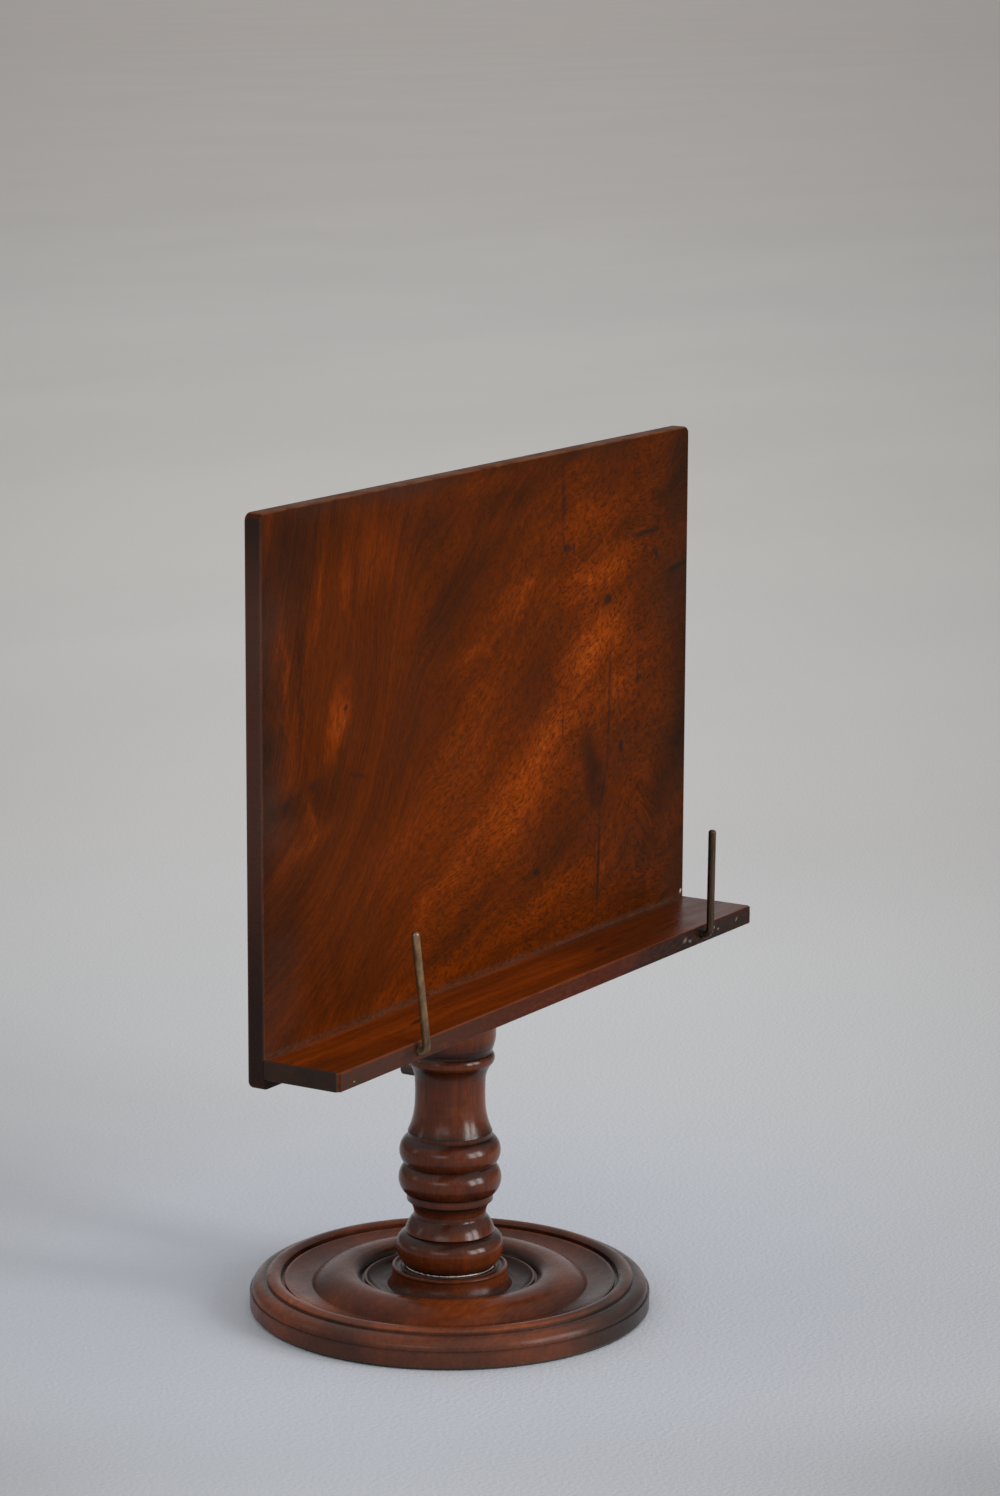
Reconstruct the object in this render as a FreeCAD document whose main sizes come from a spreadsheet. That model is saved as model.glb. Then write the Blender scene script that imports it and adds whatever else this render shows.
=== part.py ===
import FreeCAD, Part
import math
import os
import re
import Sketcher

# Table-top atlas stand in turned and planed mahogany.  A moulded round base
# carries a turned column.  A head block turns on a spigot in the top of the
# column and is planed flat in front, where an upright board is screwed to it.
# A ledge for the book runs along the board, and two bent brass wires swing in
# the front edge of the ledge to hold the pages.
#
# Axes: +Z up, the board faces -Y, and the column stands on the Z axis.
# The origin is on the floor.  All lengths are in millimetres.

# name, value, what it measures
SIZES = [
    # base, from the rim inwards
    ("base_radius", 103, "outer wall of the base"),
    ("pad_thickness", 1, "baize under the base"),
    ("pad_inset", 1.5, "baize edge behind the base wall"),
    ("base_wall", 9.6, "top of the plain outer wall, above the floor"),
    ("base_arris", 0.8, "softened lower edge of the base"),
    ("step_width", 0.9, "small step above the wall"),
    ("step_height", 0.4, "its height"),
    ("ovolo_width", 6.6, "rounded moulding above the step"),
    ("ovolo_height", 6.2, "its height above the wall"),
    ("ovolo_fullness", 0.42, "its roundness"),
    ("quirk_width", 1.2, "groove between moulding and rim"),
    ("rim_width", 7.4, "raised rim"),
    ("rim_height", 16.8, "edges of the rim, above the floor"),
    ("rim_fullness", 0.46, "roundness of the rim"),
    ("rim_groove", 1.8, "groove inside the rim"),
    ("groove_floor", 14.6, "floor of that groove, above the floor"),
    ("rim_fillet", 1.2, "fine fillet inside that groove"),
    ("rim_fillet_top", 15.6, "its top, above the floor"),
    ("dish_height", 12.8, "lowest part of the dish, above the floor"),
    ("dish_fullness", 0.1, "hollow of the dish"),
    ("swell_outer", 71, "outer foot of the broad swelling"),
    ("swell_inner", 50.5, "inner end of its broad curve"),
    ("swell_edge", 19.7, "that end, above the floor"),
    ("swell_fullness", 0.28, "roundness of the broad curve"),
    ("roll_width", 5.3, "swelling rolls over into the well"),
    ("roll_fullness", 0.25, "roundness of that roll"),
    ("swell_quirk", 14.8, "quirk inside the swelling, above the floor"),
    ("well_fillet", 1.2, "fine fillet round the well"),
    ("well_fillet_top", 16, "its top, above the floor"),
    ("well_width", 9.6, "well round the boss"),
    ("well_height", 12, "floor of the well, above the floor"),
    ("well_fullness", 0.3, "hollow of the well"),
    ("boss_margin", 7.1, "neck of the boss outside the foot of the column"),
    ("boss_flare", 2.8, "foot of the boss outside its neck"),
    ("boss_hollow", 0.22, "hollow of the flare of the boss"),
    ("boss_neck", 1.7, "neck of the boss below its seat"),
    ("lip_width", 1.2, "lip round the boss"),
    ("lip_rise", 0.3, "lip above the seat"),
    ("lip_fullness", 0.9, "roundness of the lip"),
    ("lip_fall", 0.9, "inner side of the lip"),
    ("lip_groove", 1.9, "groove inside the lip"),
    ("lip_groove_depth", 0.7, "that groove, below the seat"),
    ("lip_groove_side", 0.7, "inner side of that groove"),
    ("seat_height", 21.9, "seat of the column on the boss, above the floor"),
    # column, from the foot upwards
    ("foot_height", 18.5, "big foot ring"),
    ("foot_radius", 27.7, "widest part of the foot ring"),
    ("foot_rise", 11.3, "widest part above the seat"),
    ("foot_seat", 22.3, "foot ring at its seat"),
    ("foot_edge", 22.3, "top edge of the foot ring"),
    ("cushion_quirk", 0.5, "quirk between foot ring and cushion"),
    ("cushion_radius", 23.1, "lower edge of the cushion"),
    ("cushion_height", 8.1, "cushion above the foot ring"),
    ("cushion_fullness", 0.12, "its roundness"),
    ("waist_edge", 0.2, "waist is wider by this next to the cushion"),
    ("waist_radius", 18.8, "lower waist"),
    ("waist_height", 3.6, "lower waist"),
    ("waist_fullness", 0.15, "its hollow"),
    ("cove_height", 5.3, "cove between waist and collar"),
    ("cove_fullness", 0.22, "its hollow"),
    ("collar_radius", 22.2, "plain collar under the rings"),
    ("collar_height", 4.1, "that collar"),
    ("ring_foot", 23.5, "quirk under the rings"),
    ("ring_valley", 23.1, "quirk between the rings"),
    ("ring_height", 14.9, "each of the two rings"),
    ("ring_fullness", 0.42, "roundness of the lower ring"),
    ("upper_ring_fullness", 0.48, "roundness of the upper ring"),
    ("neck_base_radius", 21.7, "collar at the bottom of the neck"),
    ("neck_collar", 2.4, "that collar"),
    ("neck_edge", 18.2, "ends of the nearly straight part of the neck"),
    ("neck_sweep", 13.4, "lower curve of the neck"),
    ("sweep_fullness", 0.09, "its hollow"),
    ("neck_length", 14.7, "nearly straight part of the neck"),
    ("neck_fullness", 0.03, "its hollow"),
    ("neck_flare", 7.8, "upper curve of the neck"),
    ("flare_fullness", 0.15, "its hollow"),
    ("bead_radius", 21.6, "lower edge of the bead at the top"),
    ("bead_height", 5.9, "that bead"),
    ("bead_fullness", 0.45, "its roundness"),
    ("tenon_radius", 14, "tenon in the base"),
    ("wedge_depth", 14, "wedge driven into the tenon"),
    ("wedge_thick", 2.6, "wide end of the wedge"),
    ("wedge_thin", 0.8, "thin end of the wedge"),
    ("wedge_ease", 0.1, "ends of the wedge inside the tenon"),
    # swivel
    ("spigot_radius", 9, "spigot under the head"),
    ("spigot_length", 38, "that spigot"),
    ("spigot_chamfer", 1, "its lower edge"),
    ("spigot_play", 0.06, "running clearance round the spigot"),
    ("spigot_gap", 1, "room under the spigot"),
    ("peg_radius", 3.3, "retaining peg"),
    ("peg_drop", 13.2, "peg below the top of the column"),
    ("peg_reach", 29.5, "outer end of the peg from the axis"),
    ("peg_dome", 1.6, "domed end of the peg"),
    ("peg_clearance", 0.4, "peg to the walls of the spigot's groove"),
    ("groove_depth", 3, "groove round the spigot"),
    # head
    ("head_foot_radius", 21.4, "bottom edge of the head"),
    ("head_step", 1, "upright edge at the bottom of the head"),
    ("head_radius", 23.4, "head above its flare"),
    ("head_flare", 10, "foot and flare of the head"),
    ("flare_round", 0.12, "roundness of that flare"),
    ("head_back", 14, "flat front of the head in front of the axis"),
    ("block_height", 29.5, "head from the column's top to the shoulder that the board stands on"),
    ("post_height", 97, "head behind the board, above that shoulder"),
    ("head_dome", 16, "rounded top of the head"),
    # board and ledge
    ("board_width", 400, "board"),
    ("board_height", 272, "board"),
    ("board_thickness", 9.5, "board"),
    ("board_corner", 4, "rounded corners of the board"),
    ("board_arris", 1.5, "softened edges of the board"),
    ("ledge_rise", 15, "top of the ledge, above the foot of the board"),
    ("ledge_depth", 42, "ledge from the board"),
    ("ledge_thickness", 9.5, "ledge"),
    ("ledge_corner", 1.6, "rounded front corners of the ledge"),
    ("ledge_arris", 0.7, "softened edges of the ledge"),
    # screws
    ("screw_edge", 0.4, "upright edge of the screw heads"),
    ("screw_radius", 1.75, "shanks of the ledge screws"),
    ("screw_head", 3.5, "heads of the ledge screws"),
    ("screw_length", 28, "ledge screws"),
    ("screw_point", 7.5, "pointed ends of all screws"),
    ("screw_inset", 35, "outer ledge screws from the ends of the ledge"),
    ("bolt_radius", 2.1, "shanks of the head screws"),
    ("bolt_head", 4.1, "heads of the head screws"),
    ("bolt_bite", 7.5, "head screws in the board"),
    ("bolt_sink", 6, "head screws below the back of the head"),
    ("bolt_low", 25, "lower pair of head screws, above the foot of the board"),
    ("bolt_rise", 45, "upper pair above the lower pair"),
    ("bolt_spread", 20, "distance between the screws of a pair"),
    ("slot_width", 0.9, "slots of all screws"),
    ("slot_depth", 1, "slots of all screws"),
    # page holders
    ("wire_radius", 2, "brass wire"),
    ("wire_play", 0.05, "running clearance round the wire"),
    ("wire_depth", 16, "wire inside the ledge"),
    ("wire_gap", 1, "room behind the wire's end"),
    ("wire_standoff", 5, "upright wire in front of the ledge"),
    ("wire_bend", 4.2, "bend of the wire, at its centre line"),
    ("wire_round", 1.5, "rounded tip of the wire"),
    ("left_wire_inset", 68, "left wire from the end of the ledge"),
    ("right_wire_inset", 55, "right wire from the end of the ledge"),
    ("left_wire_height", 62, "left wire above its hole"),
    ("right_wire_height", 57, "right wire above its hole"),
    ("left_wire_lean", 10, "left wire leans outwards, degrees"),
    ("right_wire_lean", 1, "right wire leans outwards, degrees"),
]

doc = FreeCAD.newDocument("AtlasStand")
sheet = doc.addObject("Spreadsheet::Sheet", "Sizes")
for row, (alias, value, meaning) in enumerate(SIZES, start=1):
    sheet.set(f"A{row}", meaning)
    sheet.set(f"B{row}", str(value))
    sheet.setAlias(f"B{row}", alias)
doc.recompute()

NAMES = {alias for alias, value, meaning in SIZES}

# the two ends of a line or arc, as a sketch counts them
START = 1
END = 2

# heights up the column, each from the one below it
FOOT_TOP = "seat_height + foot_height"
CUSHION_TOP = FOOT_TOP + " + cushion_height"
WAIST_TOP = CUSHION_TOP + " + waist_height"
COLLAR_FOOT = WAIST_TOP + " + cove_height"
COLLAR_TOP = COLLAR_FOOT + " + collar_height"
RINGS_MIDDLE = COLLAR_TOP + " + ring_height"
RINGS_TOP = RINGS_MIDDLE + " + ring_height"
NECK_FOOT = RINGS_TOP + " + neck_collar"
NECK_LOW = NECK_FOOT + " + neck_sweep"
NECK_HIGH = NECK_LOW + " + neck_length"
BEAD_FOOT = NECK_HIGH + " + neck_flare"
COLUMN_TOP = BEAD_FOOT + " + bead_height"
PEG_HEIGHT = COLUMN_TOP + " - peg_drop"

# heights of the head, board and ledge
SHOULDER = COLUMN_TOP + " + block_height"
HEAD_TOP = SHOULDER + " + post_height"
BOARD_TOP = SHOULDER + " + board_height"
LEDGE_TOP = SHOULDER + " + ledge_rise"
LEDGE_FOOT = LEDGE_TOP + " - ledge_thickness"
LEDGE_MIDDLE = LEDGE_TOP + " - ledge_thickness / 2"

# planes in front of the board and the ledge, and the places of the wires along them
BOARD_FRONT = "head_back + board_thickness"
LEDGE_FRONT = BOARD_FRONT + " + ledge_depth"
LEFT_WIRE = "left_wire_inset - board_width / 2"
RIGHT_WIRE = "board_width / 2 - right_wire_inset"

# how far from a plane an edge may lie and still count as in it
NEAR = 0.01

# fullness of an arc that is a quarter of a circle
QUARTER_ROUND = "sqrt(2) - 1"


def bound(text):
    """An expression with every size in it read from the spreadsheet."""
    return re.sub(r"[a-z_]+", lambda word: "Sizes." + word[0] if word[0] in NAMES else word[0], text)


def value_of(text):
    """What such an expression is now worth."""
    return float(sheet.evalExpression(bound(text)))


def bind(thing, **properties):
    """Tie properties of an object to expressions."""
    for name, text in properties.items():
        thing.setExpression(name, bound(text))


def bind_place(thing, x="0", y="0", z="0"):
    """Tie an object's position to expressions."""
    for axis, text in (("x", x), ("y", y), ("z", z)):
        thing.setExpression(f"Placement.Base.{axis}", bound(text))


def new_body(label):
    body = doc.addObject("PartDesign::Body", label)
    body.Label = label
    return body


def new_sketch(body, name, plane, offset=None):
    """An empty sketch on one of the body's own planes, moved along its normal by offset."""
    sketch = body.newObject("Sketcher::SketchObject", name)
    support = [item for item in body.Origin.OriginFeatures if item.Role == plane][0]
    sketch.AttachmentSupport = [(support, "")]
    sketch.MapMode = "FlatFace"
    if offset:
        sketch.setExpression("AttachmentOffset.Base.z", bound(offset))
    return sketch


def fix_point(sketch, geometry, end, x, y):
    """Hold one end of a line or arc at x, y from the sketch's origin."""
    for kind, text in (("DistanceX", x), ("DistanceY", y)):
        number = sketch.addConstraint(Sketcher.Constraint(kind, -1, 1, geometry, end, value_of(text)))
        sketch.setExpression(f"Constraints[{number}]", bound(text))


def outline(sketch, points):
    """A closed outline.  Each point is x, y and the fullness of the side that leaves it:
    0 is straight, and otherwise the arc's height over half its chord, positive to the left."""
    corners = [FreeCAD.Vector(value_of(x), value_of(y), 0) for x, y, fullness in points]
    for index, (x, y, fullness) in enumerate(points):
        here = corners[index]
        there = corners[(index + 1) % len(corners)]
        rise = value_of(fullness)
        if rise == 0:
            side = sketch.addGeometry(Part.LineSegment(here, there))
            ends = (START, END)
        else:
            half = (there - here) / 2
            middle = here + half + FreeCAD.Vector(-half.y, half.x, 0) * rise
            side = sketch.addGeometry(Part.Arc(here, middle, there))
            # an arc is stored anticlockwise, so one that bulges left starts at its far end
            ends = (START, END) if rise < 0 else (END, START)
        fix_point(sketch, side, ends[0], x, y)
        after = points[(index + 1) % len(points)]
        fix_point(sketch, side, ends[1], after[0], after[1])
        if rise != 0:
            chord = f"hypot(({after[0]}) - ({x}); ({after[1]}) - ({y}))"
            radius = f"{chord} / 4 * (1 + ({fullness}) ^ 2) / abs({fullness})"
            number = sketch.addConstraint(Sketcher.Constraint("Radius", side, value_of(radius)))
            sketch.setExpression(f"Constraints[{number}]", bound(radius))
    doc.recompute()


def circle(sketch, x, y, radius):
    number = sketch.addGeometry(
        Part.Circle(FreeCAD.Vector(value_of(x), value_of(y), 0), FreeCAD.Vector(0, 0, 1), value_of(radius)))
    fix_point(sketch, number, 3, x, y)
    size = sketch.addConstraint(Sketcher.Constraint("Radius", number, value_of(radius)))
    sketch.setExpression(f"Constraints[{size}]", bound(radius))
    doc.recompute()


def turned(label, points):
    """A body turned about Z from a profile of radius, height and fullness."""
    body = new_body(label)
    profile = new_sketch(body, label + "_profile", "XZ_Plane")
    outline(profile, points)
    turning = body.newObject("PartDesign::Revolution", label + "_turning")
    turning.Profile = profile
    turning.ReferenceAxis = (profile, ["V_Axis"])
    turning.Angle = 360
    profile.Visibility = False
    doc.recompute()
    return body


def feature(body, kind, name, sketch, **settings):
    """A PartDesign feature made from a sketch."""
    result = body.newObject("PartDesign::" + kind, name)
    result.Profile = sketch
    for key, setting in settings.items():
        setattr(result, key, setting)
    doc.recompute()
    return result


def make_base():
    """The moulded disc, from the floor side round its outside and over the top to the mortise."""
    wall_top = "base_radius - step_width"
    inner = wall_top + " - ovolo_width"
    ovolo_top = "base_wall + ovolo_height"
    rim_out = inner + " - quirk_width"
    rim_in = rim_out + " - rim_width"
    fillet_out = rim_in + " - rim_groove"
    fillet_in = fillet_out + " - rim_fillet"
    swell_foot = "swell_inner - roll_width"
    well_out = swell_foot + " - well_fillet"
    well_in = well_out + " - well_fillet"
    boss = "foot_seat + boss_margin"
    lip = boss + " - lip_width"
    lip_foot = lip + " - lip_fall"
    groove = lip_foot + " - lip_groove"
    lip_floor = "seat_height - lip_groove_depth"
    return turned("base", [
        ("tenon_radius", "pad_thickness", "0"),
        ("base_radius - base_arris", "pad_thickness", "0"),
        ("base_radius", "pad_thickness + base_arris", "0"),
        ("base_radius", "base_wall", "0"),
        (wall_top, "base_wall", "0"),
        (wall_top, "base_wall + step_height", "-ovolo_fullness"),
        (inner, ovolo_top, "0"),
        (rim_out, ovolo_top, "0"),
        (rim_out, "rim_height", "-rim_fullness"),
        (rim_in, "rim_height", "0"),
        (rim_in, "groove_floor", "0"),
        (fillet_out, "groove_floor", "0"),
        (fillet_out, "rim_fillet_top", "0"),
        (fillet_in, "rim_fillet_top", "dish_fullness"),
        ("swell_outer", "dish_height", "-swell_fullness"),
        ("swell_inner", "swell_edge", "-roll_fullness"),
        (swell_foot, "swell_quirk", "0"),
        (well_out, "swell_quirk", "0"),
        (well_out, "well_fillet_top", "0"),
        (well_in, "well_fillet_top", "well_fullness"),
        (well_in + " - well_width", "well_height", "0"),
        (boss + " + boss_flare", "well_height", "boss_hollow"),
        (boss, "seat_height - boss_neck", "-lip_fullness"),
        (lip, "seat_height + lip_rise", "0"),
        (lip_foot, lip_floor, "0"),
        (groove, lip_floor, "0"),
        (groove + " - lip_groove_side", "seat_height", "0"),
        ("tenon_radius", "seat_height", "0"),
    ])


def make_pad():
    """Round baize pad, glued under the base."""
    pad = doc.addObject("Part::Cylinder", "baize_pad")
    pad.Label = "baize_pad"
    bind(pad, Radius="base_radius - pad_inset", Height="pad_thickness")
    return pad


def wedge_outline(body, name):
    """Tapered outline of the wedge, seen along the board, from the tenon's end upwards."""
    sketch = new_sketch(body, name, "YZ_Plane")
    outline(sketch, [
        ("-wedge_thick / 2", "pad_thickness", "0"),
        ("wedge_thick / 2", "pad_thickness", "0"),
        ("wedge_thin / 2", "pad_thickness + wedge_depth", "0"),
        ("-wedge_thin / 2", "pad_thickness + wedge_depth", "0"),
    ])
    return sketch


def make_column():
    """The turned column with its tenon, and the bore that the head's spigot turns in."""
    bore = "spigot_radius + spigot_play"
    bore_floor = COLUMN_TOP + " - spigot_length - spigot_gap"
    foot_swell = "foot_radius - foot_seat"
    foot_fall = "(foot_height - foot_rise)"
    body = turned("column", [
        ("0", "pad_thickness", "0"),
        ("tenon_radius", "pad_thickness", "0"),
        ("tenon_radius", "seat_height", "0"),
        ("foot_seat", "seat_height", f"-tan(atan(({foot_swell}) / foot_rise) / 2)"),
        ("foot_radius", "seat_height + foot_rise", f"-tan(atan((foot_radius - foot_edge) / {foot_fall}) / 2)"),
        ("foot_edge", FOOT_TOP, "0"),
        ("cushion_radius", FOOT_TOP + " + cushion_quirk", "-cushion_fullness"),
        ("waist_radius + waist_edge", CUSHION_TOP, "waist_fullness"),
        ("waist_radius", WAIST_TOP, "cove_fullness"),
        ("collar_radius", COLLAR_FOOT, "0"),
        ("collar_radius", COLLAR_TOP, "0"),
        ("ring_foot", COLLAR_TOP, "-ring_fullness"),
        ("ring_valley", RINGS_MIDDLE, "-upper_ring_fullness"),
        ("neck_base_radius", RINGS_TOP, "0"),
        ("neck_base_radius", NECK_FOOT, "sweep_fullness"),
        ("neck_edge", NECK_LOW, "neck_fullness"),
        ("neck_edge", NECK_HIGH, "flare_fullness"),
        ("bead_radius", BEAD_FOOT, "-bead_fullness"),
        ("head_foot_radius", COLUMN_TOP, "0"),
        (bore, COLUMN_TOP, "0"),
        (bore, bore_floor, "0"),
        ("0", bore_floor, "0"),
    ])
    kerf = wedge_outline(body, "wedge_kerf_outline")
    feature(body, "Pocket", "wedge_kerf", kerf, Type="ThroughAll", Midplane=True)
    hole = new_sketch(body, "peg_hole_outline", "XZ_Plane")
    circle(hole, "0", PEG_HEIGHT, "peg_radius")
    peg_hole = feature(body, "Pocket", "peg_hole", hole)
    bind(peg_hole, Length="base_radius")
    doc.recompute()
    return body


def make_wedge():
    """Wedge across the foot of the tenon, which spreads it in the base."""
    body = new_body("tenon_wedge")
    side = wedge_outline(body, "wedge_outline")
    wedge = feature(body, "Pad", "wedge_pad", side, Midplane=True)
    bind(wedge, Length="2 * sqrt(tenon_radius ^ 2 - (wedge_thick / 2) ^ 2) - 2 * wedge_ease")
    doc.recompute()
    return body


def make_head():
    """The head: spigot with its groove, flared block, shoulder and the half-round post
    behind the board, planed flat in front."""
    neck = "spigot_radius - groove_depth"
    groove_half = "(peg_radius + peg_clearance)"
    body = turned("head_blank", [
        ("0", COLUMN_TOP + " - spigot_length", "0"),
        ("spigot_radius - spigot_chamfer", COLUMN_TOP + " - spigot_length", "0"),
        ("spigot_radius", COLUMN_TOP + " - spigot_length + spigot_chamfer", "0"),
        ("spigot_radius", f"{PEG_HEIGHT} - {groove_half}", "0"),
        (neck, f"{PEG_HEIGHT} - {groove_half}", "0"),
        (neck, f"{PEG_HEIGHT} + {groove_half}", "0"),
        ("spigot_radius", f"{PEG_HEIGHT} + {groove_half}", "0"),
        ("spigot_radius", COLUMN_TOP, "0"),
        ("head_foot_radius", COLUMN_TOP, "0"),
        ("head_foot_radius", COLUMN_TOP + " + head_step", "-flare_round"),
        ("head_radius", COLUMN_TOP + " + head_flare", "0"),
        ("head_radius", HEAD_TOP + " - head_dome", "-tan(atan(head_dome / head_radius) / 2)"),
        ("0", HEAD_TOP, "0"),
    ])
    front = new_sketch(body, "flat_outline", "XY_Plane", SHOULDER)
    outline(front, [
        ("-2 * head_radius", "-2 * head_radius", "0"),
        ("2 * head_radius", "-2 * head_radius", "0"),
        ("2 * head_radius", "-head_back", "0"),
        ("-2 * head_radius", "-head_back", "0"),
    ])
    feature(body, "Pocket", "front_flat", front, Type="ThroughAll", Reversed=True)
    return body


def make_peg():
    """Peg with a domed end, driven into the back of the neck.  It runs in the spigot's groove."""
    body = new_body("swivel_peg")
    profile = new_sketch(body, "peg_profile", "YZ_Plane")
    tip = "spigot_radius - groove_depth + peg_clearance"
    outline(profile, [
        (tip, "0", "0"),
        ("peg_reach", "0", "-tan(atan(peg_dome / peg_radius) / 2)"),
        ("peg_reach - peg_dome", "peg_radius", "0"),
        (tip, "peg_radius", "0"),
    ])
    turning = body.newObject("PartDesign::Revolution", "peg_turning")
    turning.Profile = profile
    turning.ReferenceAxis = (profile, ["H_Axis"])
    turning.Angle = 360
    bind_place(body, z=PEG_HEIGHT)
    doc.recompute()
    return body


def screw_blank(radius, head, length):
    """A countersunk wood screw along Y, its flat head at the origin and its point at -length."""
    edge = value_of("screw_edge")
    neck = edge + head - radius
    point = value_of("screw_point")
    points = [(0, 0), (head, 0), (head, -edge), (radius, -neck), (radius, point - length), (0, -length)]
    vectors = [FreeCAD.Vector(x, y, 0) for x, y in points]
    face = Part.Face(Part.makePolygon(vectors + vectors[:1]))
    return face.revolve(FreeCAD.Vector(0, 0, 0), FreeCAD.Vector(0, 1, 0), 360)


def screw_slot(head):
    """The bar that cuts the slot across a screw's head."""
    width = value_of("slot_width")
    depth = value_of("slot_depth")
    return Part.makeBox(2 * head, 2 * depth, width, FreeCAD.Vector(-head, -depth, -width / 2))


def screw_group(label, radius, head, length, places):
    """Identical screws in one node."""
    group = doc.addObject("Part::Feature", label)
    screw = screw_blank(radius, head, length).cut(screw_slot(head))
    group.Shape = Part.makeCompound([screw.translated(FreeCAD.Vector(*place)) for place in places])
    group.Label = label
    return group


def drilled(blank, label, radius, head, length, places, access=0):
    """The blank with a hole round each screw, and room behind its head where it is sunk."""
    cutter = screw_blank(radius, head, length)
    if access:
        room = Part.makeCylinder(head, access, FreeCAD.Vector(0, 0, 0), FreeCAD.Vector(0, 1, 0))
        cutter = cutter.fuse(room)
    tool = doc.addObject("Part::Feature", label + "_drill")
    tool.Shape = Part.makeCompound([cutter.translated(FreeCAD.Vector(*place)) for place in places])
    cut = doc.addObject("Part::Cut", label)
    cut.Base = blank
    cut.Tool = tool
    cut.Label = label
    doc.recompute()
    return cut


def ledge_screws():
    """Radius, head, length and places of the screws through the board into the ledge."""
    outer = value_of("board_width / 2 - screw_inset")
    back = -value_of("head_back")
    height = value_of(LEDGE_MIDDLE)
    places = [(share * outer, back, height) for share in (-1, -1 / 3, 1 / 3, 1)]
    return value_of("screw_radius"), value_of("screw_head"), value_of("screw_length"), places


def head_screws():
    """Radius, head, length and places of the screws through the head into the board."""
    spread = value_of("bolt_spread") / 2
    back = value_of("head_radius - bolt_sink")
    low = value_of(SHOULDER + " + bolt_low")
    heights = (low, low + value_of("bolt_rise"))
    places = [(side * spread, back, height) for height in heights for side in (-1, 1)]
    length = back + value_of("head_back + bolt_bite")
    return value_of("bolt_radius"), value_of("bolt_head"), length, places


def edges_on(shape, axis, level):
    """Names of the edges that lie in the plane where that axis has that level."""
    names = set()
    for number, edge in enumerate(shape.Edges, start=1):
        box = edge.BoundBox
        low, high = (box.YMin, box.YMax) if axis == "y" else (box.ZMin, box.ZMax)
        if abs(low - level) < NEAR and abs(high - level) < NEAR:
            names.add(f"Edge{number}")
    return names


def soften(body, radius, names):
    """Round those edges of the body's last feature."""
    last = body.Tip
    rounding = body.newObject("PartDesign::Fillet", body.Name + "_rounding")
    rounding.Base = (last, sorted(names))
    bind(rounding, Radius=radius)
    doc.recompute()


def rounded_rectangle(half_width, low, high, corner):
    """Outline with rounded corners, symmetrical about the middle."""
    round_off = f"-({QUARTER_ROUND})"
    return [
        (f"{corner} - {half_width}", low, "0"),
        (f"{half_width} - {corner}", low, round_off),
        (half_width, f"{low} + {corner}", "0"),
        (half_width, f"{high} - {corner}", round_off),
        (f"{half_width} - {corner}", high, "0"),
        (f"{corner} - {half_width}", high, round_off),
        (f"-{half_width}", f"{high} - {corner}", "0"),
        (f"-{half_width}", f"{low} + {corner}", round_off),
    ]


def make_board():
    """The upright board, one plank with its edges and corners softened."""
    body = new_body("board_blank")
    face = new_sketch(body, "board_outline", "XZ_Plane", "head_back")
    outline(face, rounded_rectangle("board_width / 2", SHOULDER, BOARD_TOP, "board_corner"))
    plank = feature(body, "Pad", "board_plank", face)
    bind(plank, Length="board_thickness")
    doc.recompute()
    back = edges_on(plank.Shape, "y", -value_of("head_back"))
    front = edges_on(plank.Shape, "y", -value_of(BOARD_FRONT))
    soften(body, "board_arris", back | front)
    board = drilled(body, "board_with_ledge_holes", *ledge_screws())
    return drilled(board, "board", *head_screws())


def make_ledge():
    """The ledge, screwed to the board by its back edge and bored for the page holders."""
    body = new_body("ledge_blank")
    top = new_sketch(body, "ledge_outline", "XY_Plane", LEDGE_FOOT)
    front = f"-({LEDGE_FRONT})"
    back = f"-({BOARD_FRONT})"
    half = "board_width / 2"
    outline(top, [
        (f"-{half}", back, "0"),
        (f"-{half}", f"{front} + ledge_corner", QUARTER_ROUND),
        (f"-{half} + ledge_corner", front, "0"),
        (f"{half} - ledge_corner", front, QUARTER_ROUND),
        (half, f"{front} + ledge_corner", "0"),
        (half, back, "0"),
    ])
    plank = feature(body, "Pad", "ledge_plank", top)
    bind(plank, Length="ledge_thickness")
    doc.recompute()
    upper = edges_on(plank.Shape, "z", value_of(LEDGE_TOP))
    lower = edges_on(plank.Shape, "z", value_of(LEDGE_FOOT))
    against_board = edges_on(plank.Shape, "y", -value_of(BOARD_FRONT))
    soften(body, "ledge_arris", (upper | lower) - against_board)
    holes = new_sketch(body, "wire_holes_outline", "XZ_Plane", LEDGE_FRONT)
    circle(holes, LEFT_WIRE, LEDGE_MIDDLE, "wire_radius + wire_play")
    circle(holes, RIGHT_WIRE, LEDGE_MIDDLE, "wire_radius + wire_play")
    bores = feature(body, "Pocket", "wire_holes", holes)
    bind(bores, Length="wire_depth + wire_gap")
    doc.recompute()
    return drilled(body, "ledge", *ledge_screws())


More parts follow.
